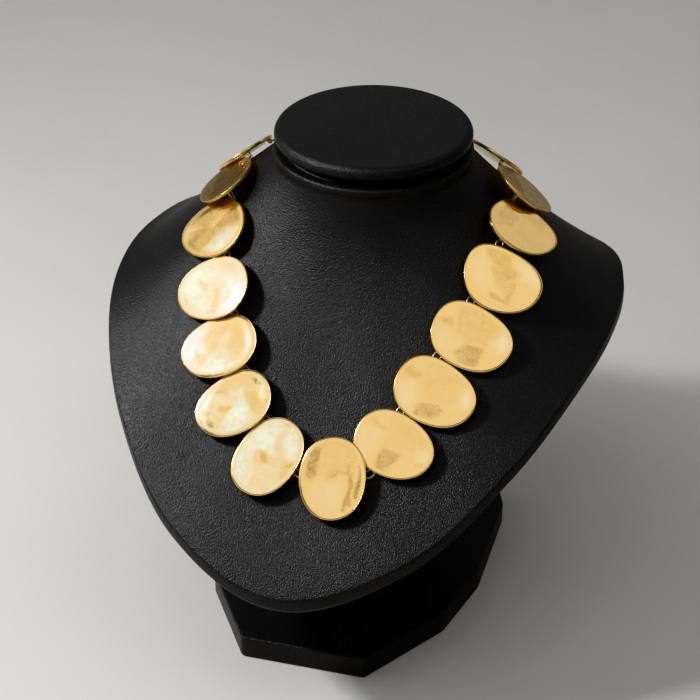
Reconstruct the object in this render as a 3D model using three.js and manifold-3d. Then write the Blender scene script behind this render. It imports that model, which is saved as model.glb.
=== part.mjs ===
// A collar of fifteen egg-shaped metal discs, worn on a leather-covered neck bust.
//
// Each disc is a thin plate with a soft shoulder round its face and two loops soldered to its back.
// Oval jump rings join the loops of neighbours, and a fine chain with a plain barrel clasp closes
// the collar at the nape.
// The bust is a cape that flares from a round neck to an edge that is low in front and high at the
// sides, on an oval pedestal and a flat base, with a padded cap on the neck.
//
// Millimetres, +Z up, front towards -Y. The origin is on the floor under the middle of the whole.
import * as THREE from "three";
import { mergeVertices } from "three/addons/utils/BufferGeometryUtils.js";
import Module from "manifold-3d";

const wasm = await Module();
wasm.setup();

// ---------------------------------------------------------------- driving dimensions

// The neck's axis stands behind the origin, because the cape reaches much further forward.
const NECK_AXIS_Y = 41;

// Bust. Each column holds the cape's edge at every 20 degrees round the neck, front to back.
const EDGE_STEP = 20;
const EDGE_RADIUS = [148.9, 140.9, 127.4, 116.4, 110.4, 108.9, 108.4, 87.4, 61.4, 48.4];
const EDGE_HEIGHT = [65, 79.5, 107, 127, 134, 134, 131, 132, 133, 130];
const NECK_RADIUS = 42;
const NECK_RIM_RADIUS = 42.5;
const NECK_TOP = 194;
const NECK_ROUND = 1.3;
const FLARE_TOP = 189.5;
const NECK_BOSS = { radius: 38, height: 2.4 };
const BUST_SIDES = 44;
const FLARE_STEPS = 12;
const EDGE_WALL = [
  { out: 0.6, down: 2 },
  { out: 0.6, down: 4.5 },
  { out: -1, down: 7 },
];
const BISECTIONS = 30;

// Oval pedestal, and its rings from the foot to the cape: how much larger than the oval, how high.
const PEDESTAL = { centreY: -30, halfWidth: 32, halfDepth: 48 };
const PEDESTAL_RINGS = [
  { grow: 6, z: 10.8 },
  { grow: 4, z: 13.8 },
  { grow: 0, z: 22.8 },
  { grow: 0, z: 50 },
];

// Padded cap on the neck: a disc with a fully rounded edge and a slight crown, which has risen
// by the share rise of its height at the share reach of the radius.
const CAP = { radius: 42, bottom: 196.7, edge: 3.3, sides: 36, edgeSteps: 3 };
const CROWN = { height: 0.5, reach: 0.6, rise: 0.7 };

// Base: half outline from front to back, the other half mirrored, and its rounded arris, which
// passes its corner at the share BASE_ROUND of its size.
const BASE_TOP = 10.5;
const BASE_ARRIS = 0.9;
const BASE_ROUND = 0.3;
const BASE_OUTLINE = [
  { x: 27.2, y: -113 },
  { x: 52.4, y: -74 },
  { x: 60.5, y: -40 },
  { x: 60.5, y: 12 },
  { x: 52, y: 34 },
];

// Disc plate, as rows of its section from the back to the face: how far in from the outline, and
// how high over the plate's middle plane.
const PLATE_SIDES = 24;
const PLATE_SECTION = [
  { inset: 0.35, height: -0.75 },
  { inset: 0, height: -0.45 },
  { inset: 0, height: 0.3 },
  { inset: 0.4, height: 0.62 },
  { inset: 1.7, height: 0.8 },
];

// The loops' wire runs on straight to the plate from footFrom over the loop's middle.
const LOOP = { radius: 0.95, wire: 0.3, depth: 1.4, footFrom: 0.33, wireSides: 4, steps: 8 };
const JUMP_RING = { reach: 2.4, halfWidth: 1.5, wire: 0.3, wireSides: 4, steps: 12 };

// The discs, in order from the left side of the nape to the right one. x, y, z is the centre from
// the neck's axis and the floor. The face looks towards the compass angle face (0 is -Y, 90 is +X)
// and upwards by rise. turn is the egg's long axis on its own face, with the wide end leading, long
// and wide are half axes, and egg is how much wider that end is. square swells the outline between
// its axes, and flat straightens the side ahead of the long axis, counterclockwise. ring says how
// far towards the neck the jump ring to the next disc lies off the line between the two centres.
const DISCS = table(
  ["name", "x", "y", "z", "face", "rise", "turn", "long", "wide", "egg", "square", "flat", "ring"],
  [
    ["left_7", -61.9, 14, 174.9, -110, 48, 215, 17.1, 13.5, 0.05, 0.03, 0, 7.5],
    ["left_6", -60.7, -16.4, 176.7, -85, 53, 200, 17.3, 13.6, 0.05, 0.03, 0, 6.5],
    ["left_5", -59.3, -38.5, 164.9, -44, 47, 34, 17.2, 14, 0.13, -0.01, -0.018, 6.1],
    ["left_4", -52.4, -61.1, 149.7, -25, 46, 33, 16.7, 13.8, 0.09, 0.015, 0.006, 7.2],
    ["left_3", -44.2, -78.9, 133.4, -11, 48, 38, 16.6, 12.9, 0.05, 0.03, 0.011, 7.6],
    ["left_2", -33, -95.8, 117.7, -8, 49, 46, 16.8, 12.8, 0.06, 0.031, 0.019, 7.6],
    ["left_1", -14.2, -110, 104.8, -3, 50, 248, 17.3, 13.1, 0.01, 0.032, -0.007, -2],
    ["centre", 13.9, -113.6, 101.8, -5, 47, 106, 17.2, 13.9, 0.02, 0.021, 0, -4.8],
    ["right_1", 35.6, -99.9, 112.7, -3, 47, 161, 17.3, 13.1, 0.09, 0.025, -0.013, 7],
    ["right_2", 47.8, -82.3, 128.8, 6, 46, 154, 17.3, 13.3, 0.09, 0.041, -0.018, 7.6],
    ["right_3", 57.9, -62.6, 144.8, 20, 47, 147, 17, 13.5, 0.08, 0.047, -0.024, 7.2],
    ["right_4", 65.3, -39.9, 160.1, 39, 46, 145, 17.1, 13.9, 0.12, 0.038, -0.036, 7.2],
    ["right_5", 68, -13.5, 170.6, 80, 52, 135, 18, 13.7, 0.11, -0.04, 0.019, 5.6],
    ["right_6", 63.4, 12, 175.4, 114, 48, 128, 17.2, 13.5, 0.05, 0.03, 0, 5.5],
    ["right_7", 45.5, 36.5, 176.5, 142, 47, 140, 17.1, 13.5, 0.05, 0.03, 0, 0],
  ],
);

// Chain behind the neck: a round tube at a small standoff from the bust, through points given by
// the angle round the neck's axis and the height. A plain barrel clasp lies at its middle.
const CHAIN = { radius: 1, sides: 6, step: 4, standoff: 1.9 };
const CHAIN_RIGHT = table(["around", "z"], [[154, 176], [164, 176.5], [174, 177]]);
const CHAIN_LEFT = table(["around", "z"], [[213, 178.5], [223, 178.8], [233, 179]]);
const END_LOOP = { along: 11, inward: 5 };
const CLASP = { around: 194, z: 178, length: 9, radius: 2, sides: 12, standoff: 2.5 };
const CLASP_END = { radius: 1.2, taper: 1 };

// ---------------------------------------------------------------- materials

const gold = () => new THREE.MeshStandardMaterial({ color: 0xdcb766, roughness: 0.35, metalness: 1 });
const brightGold = () => new THREE.MeshStandardMaterial({ color: 0xe3c27a, roughness: 0.2, metalness: 1 });
const leatherette = () => new THREE.MeshStandardMaterial({ color: 0x25262a, roughness: 0.6, metalness: 0 });

// ---------------------------------------------------------------- helpers

function table(columns, rows) {
  return rows.map((row) => Object.fromEntries(columns.map((column, i) => [column, row[i]])));
}

// Turns a closed geometry into a solid; triangles that collapse at a pole are left out.
function solidOf(geometry, matrix = new THREE.Matrix4()) {
  const bare = new THREE.BufferGeometry();
  bare.setAttribute("position", geometry.getAttribute("position").clone());
  bare.setIndex(geometry.getIndex());
  bare.applyMatrix4(matrix);
  const merged = mergeVertices(bare, 1e-4);
  const corners = merged.getIndex().array;
  const triVerts = [];
  for (let i = 0; i < corners.length; i += 3) {
    const [a, b, c] = corners.slice(i, i + 3);
    if (a !== b && b !== c && c !== a) triVerts.push(a, b, c);
  }
  const vertProperties = new Float32Array(merged.getAttribute("position").array);
  return new wasm.Manifold(
    new wasm.Mesh({ numProp: 3, vertProperties, triVerts: new Uint32Array(triVerts) }),
  );
}

function geometryOf(solid) {
  const mesh = solid.getMesh();
  const geometry = new THREE.BufferGeometry();
  geometry.setAttribute("position", new THREE.BufferAttribute(new Float32Array(mesh.vertProperties), 3));
  geometry.setIndex(new THREE.BufferAttribute(new Uint32Array(mesh.triVerts), 1));
  geometry.computeVertexNormals();
  return geometry;
}

// A closed skin over rings of points, each ring counterclockwise seen from the last ring's side,
// with a fan over the first ring and another over the last.
function skin(rings) {
  const count = rings[0].length;
  const points = rings.flat();
  const index = [];
  for (let row = 0; row + 1 < rings.length; row += 1) {
    for (let i = 0; i < count; i += 1) {
      const a = row * count + i;
      const b = row * count + ((i + 1) % count);
      index.push(a, b, b + count, a, b + count, a + count);
    }
  }
  const lastRow = (rings.length - 1) * count;
  const bottom = points.push(middle(rings[0])) - 1;
  const top = points.push(middle(rings.at(-1))) - 1;
  for (let i = 0; i < count; i += 1) {
    const next = (i + 1) % count;
    index.push(bottom, next, i);
    index.push(top, lastRow + i, lastRow + next);
  }
  const geometry = new THREE.BufferGeometry().setFromPoints(points);
  geometry.setIndex(index);
  geometry.computeVertexNormals();
  return geometry;
}

function middle(points) {
  const sum = points.reduce((total, point) => total.add(point), new THREE.Vector3());
  return sum.divideScalar(points.length);
}

function ringOf(sides, pointAt) {
  return Array.from({ length: sides }, (_, i) => pointAt((2 * Math.PI * i) / sides));
}

function mesh(name, geometry, material) {
  const piece = new THREE.Mesh(geometry, material);
  piece.name = name;
  return piece;
}

// ---------------------------------------------------------------- bust

// Smooth periodic curve through values at equal steps, mirrored at the front and at the back.
function edgeValue(values, degrees) {
  const last = values.length - 1;
  const at = Math.min(Math.abs(degrees) / EDGE_STEP, last);
  const index = Math.min(Math.floor(at), last - 1);
  const t = at - index;
  const value = (i) => values[last - Math.abs(last - Math.abs(i))];
  const [p0, p1, p2, p3] = [index - 1, index, index + 1, index + 2].map(value);
  return p1 + 0.5 * t * (p2 - p0 + t * (2 * p0 - 5 * p1 + 4 * p2 - p3 + t * (3 * (p1 - p2) + p3 - p0)));
}

// The cape's section at an angle round the neck, as a curve from the neck down to the edge. The
// shares front, side and back blend the three characters of the slope.
function flareSection(degrees) {
  const angle = THREE.MathUtils.degToRad(degrees);
  const radius = edgeValue(EDGE_RADIUS, degrees);
  const height = edgeValue(EDGE_HEIGHT, degrees);
  const front = Math.max(Math.cos(angle), 0) ** 2;
  const back = Math.max(-Math.cos(angle), 0) ** 2;
  const side = Math.sin(angle) ** 2;
  const fall = (0.36 * front + 0.49 * side + 0.5 * back) * (FLARE_TOP - height);
  const spread = 2.5 * front + 32 * side + 3 * back;
  const slope = THREE.MathUtils.degToRad(44 * front + 23 * side + 60 * back);
  const lead = 0.22 * (radius - NECK_RADIUS);
  return new THREE.CubicBezierCurve(
    new THREE.Vector2(NECK_RADIUS, FLARE_TOP),
    new THREE.Vector2(NECK_RADIUS + spread, FLARE_TOP - fall),
    new THREE.Vector2(radius - Math.cos(slope) * lead, height + Math.sin(slope) * lead),
    new THREE.Vector2(radius, height),
  );
}

// Point at an angle round the neck's axis (0 is the front, 90 is +X), counted counterclockwise
// seen from above.
function roundNeck(degrees, radius, z) {
  const angle = THREE.MathUtils.degToRad(degrees);
  return new THREE.Vector3(radius * Math.sin(angle), -radius * Math.cos(angle), z);
}

// How far from the neck's axis the cape lies at a height.
function capeRadius(degrees, z) {
  const section = flareSection(degrees);
  let low = 0;
  let high = 1;
  for (let i = 0; i < BISECTIONS; i += 1) {
    const t = (low + high) / 2;
    if (section.getPoint(t).y > z) low = t;
    else high = t;
  }
  return section.getPoint(low).x;
}

function bustBody() {
  const angles = Array.from({ length: BUST_SIDES }, (_, i) => {
    const degrees = (360 * i) / BUST_SIDES;
    return degrees > 180 ? degrees - 360 : degrees;
  });
  const around = (place) => angles.map((degrees) => place(degrees, flareSection(degrees)));
  const pedestal = ({ grow, z }) =>
    around((degrees) => {
      const angle = THREE.MathUtils.degToRad(degrees);
      const x = (PEDESTAL.halfWidth + grow) * Math.sin(angle);
      const y = PEDESTAL.centreY - (PEDESTAL.halfDepth + grow) * Math.cos(angle);
      return new THREE.Vector3(x, y, z);
    });
  const rings = PEDESTAL_RINGS.map(pedestal);
  for (const { out, down } of [...EDGE_WALL].reverse()) {
    rings.push(
      around((degrees, section) => {
        const edge = section.getPoint(1);
        return roundNeck(degrees, edge.x + out, edge.y - down);
      }),
    );
  }
  for (let step = FLARE_STEPS; step >= 0; step -= 1) {
    rings.push(
      around((degrees, section) => {
        const point = section.getPoint(step / FLARE_STEPS);
        return roundNeck(degrees, point.x, point.y);
      }),
    );
  }
  const boss = NECK_BOSS.radius;
  const neck = [
    [NECK_RIM_RADIUS, NECK_TOP - NECK_ROUND],
    [NECK_RIM_RADIUS - NECK_ROUND, NECK_TOP],
    [boss, NECK_TOP],
    [boss, NECK_TOP + NECK_BOSS.height],
  ];
  for (const [radius, z] of neck) rings.push(around((degrees) => roundNeck(degrees, radius, z)));
  return mesh("bust_body", skin(rings), leatherette());
}

function neckCap() {
  const { radius, bottom, edge, sides, edgeSteps } = CAP;
  const top = bottom + 2 * edge;
  const profile = [new THREE.Vector2(0, bottom)];
  for (let i = 0; i <= 2 * edgeSteps; i += 1) {
    const angle = -Math.PI / 2 + (Math.PI * i) / (2 * edgeSteps);
    const out = radius - edge + edge * Math.cos(angle);
    profile.push(new THREE.Vector2(out, bottom + edge + edge * Math.sin(angle)));
  }
  profile.push(new THREE.Vector2(radius * CROWN.reach, top + CROWN.height * CROWN.rise));
  profile.push(new THREE.Vector2(0, top + CROWN.height));
  const piece = mesh("neck_cap", new THREE.LatheGeometry(profile, sides), leatherette());
  piece.rotation.x = Math.PI / 2;
  return piece;
}

function baseBlock() {
  const half = BASE_OUTLINE;
  const other = [...half].reverse().map(({ x, y }) => ({ x: -x, y }));
  const outline = [...half, ...other];
  const centre = { x: 0, y: (half[0].y + half.at(-1).y) / 2 };
  const level = (inset, z) =>
    outline.map(({ x, y }) => {
      const reach = Math.hypot(x - centre.x, y - centre.y);
      const share = 1 - inset / reach;
      return new THREE.Vector3(centre.x + (x - centre.x) * share, centre.y + (y - centre.y) * share, z);
    });
  const rings = [
    level(BASE_ARRIS, 0),
    level(0, BASE_ARRIS),
    level(0, BASE_TOP - BASE_ARRIS),
    level(BASE_ARRIS * BASE_ROUND, BASE_TOP - BASE_ARRIS * BASE_ROUND),
    level(BASE_ARRIS, BASE_TOP),
  ];
  return mesh("base_block", skin(rings), leatherette());
}

// ---------------------------------------------------------------- discs and jump rings

// The disc's own axes: along is its long axis, across its short one, out its face.
function axesOf({ x, y, z, face, rise, turn }) {
  const [compass, up, spin] = [face, rise, turn].map(THREE.MathUtils.degToRad);
  const out = new THREE.Vector3(
    Math.cos(up) * Math.sin(compass),
    -Math.cos(up) * Math.cos(compass),
    Math.sin(up),
  );
  const level = new THREE.Vector3(0, 0, 1).cross(out).normalize();
  const climb = out.clone().cross(level);
  const along = level.multiplyScalar(Math.cos(spin)).addScaledVector(climb, Math.sin(spin));
  const across = out.clone().cross(along);
  return { centre: new THREE.Vector3(x, y, z), along, across, out };
}

function plate({ long, wide, egg, square, flat }) {
  const rings = PLATE_SECTION.map(({ inset, height }) =>
    ringOf(PLATE_SIDES, (angle) => {
      const swell = 1 + square * Math.sin(2 * angle) ** 2 + flat * Math.sin(3 * angle);
      const x = (long - inset) * Math.cos(angle);
      const y = (wide - inset) * (1 + egg * Math.cos(angle)) * Math.sin(angle);
      return new THREE.Vector3(x * swell, y * swell, height);
    }),
  );
  return skin(rings);
}

function depthBehind(point, { centre, out }) {
  return centre.clone().sub(point).dot(out);
}

// The jump ring between two discs: the two points where its wire passes through their loops, and
// the direction towards the neck, which the wire follows there. The ring lies behind both plates.
function linkBetween(first, second, inward) {
  const way = second.centre.clone().sub(first.centre).normalize();
  const normal = first.out.clone().add(second.out);
  normal.addScaledVector(way, -normal.dot(way)).normalize();
  const neckward = normal.clone().cross(way);
  const middlePoint = first.centre.clone().lerp(second.centre, 0.5).addScaledVector(neckward, inward);
  const [start, end] = [-1, 1].map((side) => {
    const point = middlePoint.clone().addScaledVector(way, side * JUMP_RING.reach);
    const depth = Math.min(depthBehind(point, first), depthBehind(point, second));
    return point.addScaledVector(normal, depth - LOOP.depth);
  });
  return { start, end, neckward };
}

// The jump ring between an end disc and the chain, which starts towards a point at the nape.
function linkToChain(seat, nape) {
  const way = nape.clone().sub(seat.centre);
  way.addScaledVector(seat.out, -way.dot(seat.out)).normalize();
  const neckward = seat.out.clone().cross(way);
  if (neckward.z < 0) neckward.negate();
  const start = seat.centre.clone().addScaledVector(way, END_LOOP.along);
  start.addScaledVector(neckward, END_LOOP.inward).addScaledVector(seat.out, -LOOP.depth);
  const onward = nape.clone().sub(start).normalize();
  neckward.addScaledVector(onward, -neckward.dot(onward)).normalize();
  const end = start.clone().addScaledVector(onward, 2 * JUMP_RING.reach);
  return { start, end, neckward, onward };
}

// A wire loop round a point, with its axis along one direction. Its foot reaches back to the plate
// or the tube by stretch, on the side that up points to.
function loopSolid({ centre, axis, up, stretch = 0 }) {
  const torus = new THREE.TorusGeometry(LOOP.radius, LOOP.wire, LOOP.wireSides, LOOP.steps);
  const place = torus.getAttribute("position");
  for (let i = 0; i < place.count; i += 1) {
    if (place.getY(i) > LOOP.footFrom) place.setY(i, place.getY(i) + stretch);
  }
  const upright = up.clone().addScaledVector(axis, -up.dot(axis)).normalize();
  const basis = new THREE.Matrix4().makeBasis(upright.clone().cross(axis), upright, axis);
  return solidOf(torus, basis.setPosition(centre));
}

function disc(row, axes, loops) {
  const place = new THREE.Matrix4().makeBasis(axes.along, axes.across, axes.out).setPosition(axes.centre);
  const inverse = place.clone().invert();
  let solid = solidOf(plate(row));
  for (const { centre, axis } of loops) {
    const loop = { centre: centre.clone().applyMatrix4(inverse), up: new THREE.Vector3(0, 0, 1) };
    loop.axis = axis.clone().transformDirection(inverse);
    loop.stretch = -loop.centre.z - LOOP.depth;
    solid = solid.add(loopSolid(loop));
  }
  const piece = mesh(`disc_${row.name}`, geometryOf(solid), gold());
  piece.position.copy(axes.centre);
  piece.quaternion.setFromRotationMatrix(place);
  return piece;
}

// An oval ring with its long axis from loop to loop.
function jumpRing(number, { start, end, neckward }) {
  const span = end.clone().sub(start);
  const radius = span.length() / 2;
  const geometry = new THREE.TorusGeometry(radius, JUMP_RING.wire, JUMP_RING.wireSides, JUMP_RING.steps);
  const place = geometry.getAttribute("position");
  for (let i = 0; i < place.count; i += 1) {
    const around = Math.atan2(place.getY(i), place.getX(i));
    place.setY(i, place.getY(i) + (JUMP_RING.halfWidth - radius) * Math.sin(around));
  }
  geometry.computeVertexNormals();
  const name = `jump_ring_${String(number).padStart(2, "0")}`;
  const piece = mesh(name, geometry, brightGold());
  const ahead = span.normalize();
  const normal = ahead.clone().cross(neckward).normalize();
  const basis = new THREE.Matrix4().makeBasis(ahead, normal.clone().cross(ahead), normal);
  piece.position.copy(start).lerp(end, 0.5);
  piece.quaternion.setFromRotationMatrix(basis);
  return piece;
}

// ---------------------------------------------------------------- chain and clasp

function napePoint({ around, z }, standoff) {
  const degrees = around > 180 ? around - 360 : around;
  return roundNeck(degrees, capeRadius(degrees, z) + standoff, z);
}

// A tube between two eyes. Each eye is a small ring that the next piece passes through, and the
// tube starts at its far side.
function chain(name, first, through, last) {
  const route = [first, last].map(({ centre, away }) => centre.clone().addScaledVector(away, LOOP.radius));
  route.splice(1, 0, ...through.map((row) => napePoint(row, CHAIN.standoff)));
  const curve = new THREE.CatmullRomCurve3(route);
  const steps = Math.round(curve.getLength() / CHAIN.step);
  const section = new THREE.Shape(
    ringOf(CHAIN.sides, (angle) => {
      return new THREE.Vector2(CHAIN.radius * Math.cos(angle), CHAIN.radius * Math.sin(angle));
    }),
  );
  const tube = new THREE.ExtrudeGeometry(section, { steps, extrudePath: curve, bevelEnabled: false });
  const solid = solidOf(tube).add(loopSolid(first)).add(loopSolid(last));
  return mesh(name, geometryOf(solid), brightGold());
}

// The barrel, its eye at each end, and the chain's eye linked into that one at a right angle.
function claspParts() {
  const centre = napePoint(CLASP, CLASP.standoff);
  const ahead = napePoint({ around: CLASP.around + 1, z: CLASP.z }, CLASP.standoff);
  const along = ahead.sub(centre).normalize();
  const level = new THREE.Vector3(0, 0, 1);
  const outward = along.clone().cross(level);
  const half = CLASP.length / 2;
  const profile = [
    [0, -half],
    [CLASP_END.radius, -half],
    [CLASP.radius, CLASP_END.taper - half],
    [CLASP.radius, half - CLASP_END.taper],
    [CLASP_END.radius, half],
    [0, half],
  ].map(([x, y]) => new THREE.Vector2(x, y));
  const upright = new THREE.Quaternion().setFromUnitVectors(new THREE.Vector3(0, 1, 0), along);
  const place = new THREE.Matrix4().compose(centre, upright, new THREE.Vector3(1, 1, 1));
  let solid = solidOf(new THREE.LatheGeometry(profile, CLASP.sides), place);
  const [before, after] = [-1, 1].map((side) => {
    const away = along.clone().multiplyScalar(side);
    const eye = centre.clone().addScaledVector(away, half + LOOP.radius - LOOP.wire);
    solid = solid.add(loopSolid({ centre: eye, axis: level, up: away }));
    return { centre: eye.clone().addScaledVector(away, LOOP.radius), axis: outward, up: away, away };
  });
  return { clasp: mesh("clasp", geometryOf(solid), brightGold()), before, after };
}

// ---------------------------------------------------------------- assembly

function collar() {
  const group = new THREE.Group();
  const seats = DISCS.map(axesOf);
  const links = [linkToChain(seats[0], napePoint(CHAIN_LEFT.at(-1), CHAIN.standoff))];
  for (let i = 0; i + 1 < seats.length; i += 1) {
    links.push(linkBetween(seats[i], seats[i + 1], DISCS[i].ring));
  }
  links.push(linkToChain(seats.at(-1), napePoint(CHAIN_RIGHT[0], CHAIN.standoff)));
  DISCS.forEach((row, i) => {
    const before = i === 0 ? links[0].start : links[i].end;
    const loops = [
      { centre: before, axis: links[i].neckward },
      { centre: links[i + 1].start, axis: links[i + 1].neckward },
    ];
    group.add(disc(row, seats[i], loops));
  });
  links.forEach((link, i) => group.add(jumpRing(i + 1, link)));
  const eyeOf = ({ end, neckward, onward }) => ({ centre: end, axis: neckward, up: onward, away: onward });
  const { clasp, before, after } = claspParts();
  group.add(chain("chain_right", eyeOf(links.at(-1)), CHAIN_RIGHT, before));
  group.add(chain("chain_left", after, CHAIN_LEFT, eyeOf(links[0])));
  group.add(clasp);
  return group;
}

const necklaceOnBust = new THREE.Group();
necklaceOnBust.add(collar(), bustBody(), neckCap(), baseBlock());
necklaceOnBust.position.y = NECK_AXIS_Y;

export default necklaceOnBust;
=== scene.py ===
"""A collar of fifteen egg-shaped metal discs, worn on a leather-covered neck bust.

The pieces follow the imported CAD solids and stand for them: plates with a raised rim and uneven
faces, jump rings, a cable chain, a barrel clasp, and the bust in pebbled leatherette. The tables
are in millimetres and repeat the driving dimensions of the CAD source.
"""

import math

import bpy
import numpy as np
from mathutils import Matrix, Vector


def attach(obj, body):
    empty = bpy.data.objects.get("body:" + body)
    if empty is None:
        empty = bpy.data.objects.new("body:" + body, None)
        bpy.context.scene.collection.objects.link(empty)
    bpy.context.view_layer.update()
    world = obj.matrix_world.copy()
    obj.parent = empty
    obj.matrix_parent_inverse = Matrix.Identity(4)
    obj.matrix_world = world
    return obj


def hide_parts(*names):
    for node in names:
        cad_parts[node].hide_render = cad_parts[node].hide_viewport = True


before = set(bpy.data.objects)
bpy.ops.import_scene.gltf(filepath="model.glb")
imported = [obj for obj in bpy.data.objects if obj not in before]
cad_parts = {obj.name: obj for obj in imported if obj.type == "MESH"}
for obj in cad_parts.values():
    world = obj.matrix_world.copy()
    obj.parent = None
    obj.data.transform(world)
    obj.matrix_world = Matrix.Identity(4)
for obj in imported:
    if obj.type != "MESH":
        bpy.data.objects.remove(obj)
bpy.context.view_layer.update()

MM = 0.001

# ---------------------------------------------------------------- driving dimensions

# The cape's edge has a radius and a height every EDGE_STEP degrees round the neck, front to back.
NECK_AXIS_Y = 41
EDGE_STEP = 20
EDGE_RADIUS = np.array([148.9, 140.9, 127.4, 116.4, 110.4, 108.9, 108.4, 87.4, 61.4, 48.4])
EDGE_HEIGHT = np.array([65, 79.5, 107, 127, 134, 134, 131, 132, 133, 130])
NECK_RADIUS = 42
FLARE_TOP = 189.5
PEDESTAL = {"centre_y": -30, "half_width": 32, "half_depth": 48}
CAP = {"radius": 42, "bottom": 196.7, "edge": 3.3, "crown": 0.5}
BASE = {"top": 10.5, "arris": 0.9, "corner": 1.6}
BASE_HALF = [(27.2, -113), (52.4, -74), (60.5, -40), (60.5, 12), (52, 34)]

LOOP = {"radius": 0.95, "wire": 0.3, "depth": 1.4}
RING = {"reach": 2.4, "half_width": 1.5, "wire": 0.3}
CHAIN_STANDOFF = 1.9
# Points of the chain's route: degrees round the neck, and height.
CHAIN_RIGHT = [(154, 176), (164, 176.5), (174, 177)]
CHAIN_LEFT = [(213, 178.5), (223, 178.8), (233, 179)]
END_LOOP = {"along": 11, "inward": 5}
CLASP = {"around": 194, "z": 178, "length": 9, "standoff": 2.5}

# x, y, z is a disc's centre from the neck's axis and the floor. Its face looks towards the compass
# angle face (0 is -Y, 90 is +X) and upwards by rise. turn is where the egg's wide end points on it
# (0 is right, 90 is up). long and wide are half axes, and egg is how much wider the wide end is.
# square swells the outline between its axes, and flat draws it in on one side of the long axis and
# out on the other. ring is how far towards the neck the jump ring to the next disc lies off the
# line between the two centres.
DISC_COLUMNS = [
    "name", "x", "y", "z", "face", "rise", "turn", "long", "wide", "egg", "square", "flat", "ring",
]
DISC_ROWS = [
    ["left_7", -61.9, 14, 174.9, -110, 48, 215, 17.1, 13.5, 0.05, 0.03, 0, 7.5],
    ["left_6", -60.7, -16.4, 176.7, -85, 53, 200, 17.3, 13.6, 0.05, 0.03, 0, 6.5],
    ["left_5", -59.3, -38.5, 164.9, -44, 47, 34, 17.2, 14, 0.13, -0.01, -0.018, 6.1],
    ["left_4", -52.4, -61.1, 149.7, -25, 46, 33, 16.7, 13.8, 0.09, 0.015, 0.006, 7.2],
    ["left_3", -44.2, -78.9, 133.4, -11, 48, 38, 16.6, 12.9, 0.05, 0.03, 0.011, 7.6],
    ["left_2", -33, -95.8, 117.7, -8, 49, 46, 16.8, 12.8, 0.06, 0.031, 0.019, 7.6],
    ["left_1", -14.2, -110, 104.8, -3, 50, 248, 17.3, 13.1, 0.01, 0.032, -0.007, -2],
    ["centre", 13.9, -113.6, 101.8, -5, 47, 106, 17.2, 13.9, 0.02, 0.021, 0, -4.8],
    ["right_1", 35.6, -99.9, 112.7, -3, 47, 161, 17.3, 13.1, 0.09, 0.025, -0.013, 7],
    ["right_2", 47.8, -82.3, 128.8, 6, 46, 154, 17.3, 13.3, 0.09, 0.041, -0.018, 7.6],
    ["right_3", 57.9, -62.6, 144.8, 20, 47, 147, 17, 13.5, 0.08, 0.047, -0.024, 7.2],
    ["right_4", 65.3, -39.9, 160.1, 39, 46, 145, 17.1, 13.9, 0.12, 0.038, -0.036, 7.2],
    ["right_5", 68, -13.5, 170.6, 80, 52, 135, 18, 13.7, 0.11, -0.04, 0.019, 5.6],
    ["right_6", 63.4, 12, 175.4, 114, 48, 128, 17.2, 13.5, 0.05, 0.03, 0, 5.5],
    ["right_7", 45.5, 36.5, 176.5, 142, 47, 140, 17.1, 13.5, 0.05, 0.03, 0, 0],
]
DISCS = [dict(zip(DISC_COLUMNS, row)) for row in DISC_ROWS]

# ---------------------------------------------------------------- mesh helpers


def vec(*values):
    return np.array(values, float)


def unit(v):
    return v / np.linalg.norm(v)


def turns(count):
    """Angles at equal steps round a circle."""
    return np.arange(count) * 2 * math.pi / count


def smooth(low, high, x):
    t = np.clip((x - low) / (high - low), 0, 1)
    return t * t * (3 - 2 * t)


def grid_faces(rows, count, closed_rows=False):
    """Quads over rings of count points each, closed round each ring."""
    faces = []
    for row in range(rows if closed_rows else rows - 1):
        here = row * count
        there = (row + 1) % rows * count
        for i in range(count):
            j = (i + 1) % count
            faces.append((here + i, here + j, there + j, there + i))
    return faces


def skin(rings):
    """Closed skin over rings of points that run counterclockwise seen from the last one."""
    count = len(rings[0])
    points = np.concatenate(rings + [rings[0].mean(0)[None], rings[-1].mean(0)[None]])
    faces = grid_faces(len(rings), count)
    bottom = len(rings) * count
    last = bottom - count
    for i in range(count):
        j = (i + 1) % count
        faces.append((bottom, j, i))
        faces.append((bottom + 1, last + i, last + j))
    return points, faces


def tube(centres, sides_a, sides_b, radius, count=12, closed=True):
    """Round wire along points, with two unit vectors across it at each point."""
    angles = turns(count)
    rings = [
        c + radius * (np.cos(angles)[:, None] * a + np.sin(angles)[:, None] * b)
        for c, a, b in zip(centres, sides_a, sides_b)
    ]
    if closed:
        return np.concatenate(rings), grid_faces(len(rings), count, closed_rows=True)
    return skin(rings)


def merge(parts):
    points, faces, start = [], [], 0
    for part_points, part_faces in parts:
        points.append(part_points)
        faces += [tuple(i + start for i in face) for face in part_faces]
        start += len(part_points)
    return np.concatenate(points), faces


def add_piece(name, geometry, material, nodes, place=None):
    """A piece that replaces CAD nodes. place is its matrix from the neck's axis."""
    points, faces = geometry
    mesh = bpy.data.meshes.new(name)
    mesh.from_pydata((points * MM).tolist(), [], faces)
    mesh.materials.append(material)
    mesh.update()
    mesh.shade_smooth()
    piece = bpy.data.objects.new(name, mesh)
    bpy.context.scene.collection.objects.link(piece)
    matrix = Matrix.Translation((0, NECK_AXIS_Y * MM, 0))
    if place is not None:
        axes = Matrix([[*row] for row in place[:3, :3]]).to_4x4()
        axes.translation = place[:3, 3] * MM
        matrix = matrix @ axes
    piece.matrix_world = matrix
    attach(piece, "root")
    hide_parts(*nodes)
    return piece


# ---------------------------------------------------------------- materials


# Numbers of a Mix node's sockets for colours, because its data types share their names.
MIX_SHARE, MIX_FIRST, MIX_SECOND, MIX_RESULT = 0, 6, 7, 2


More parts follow.
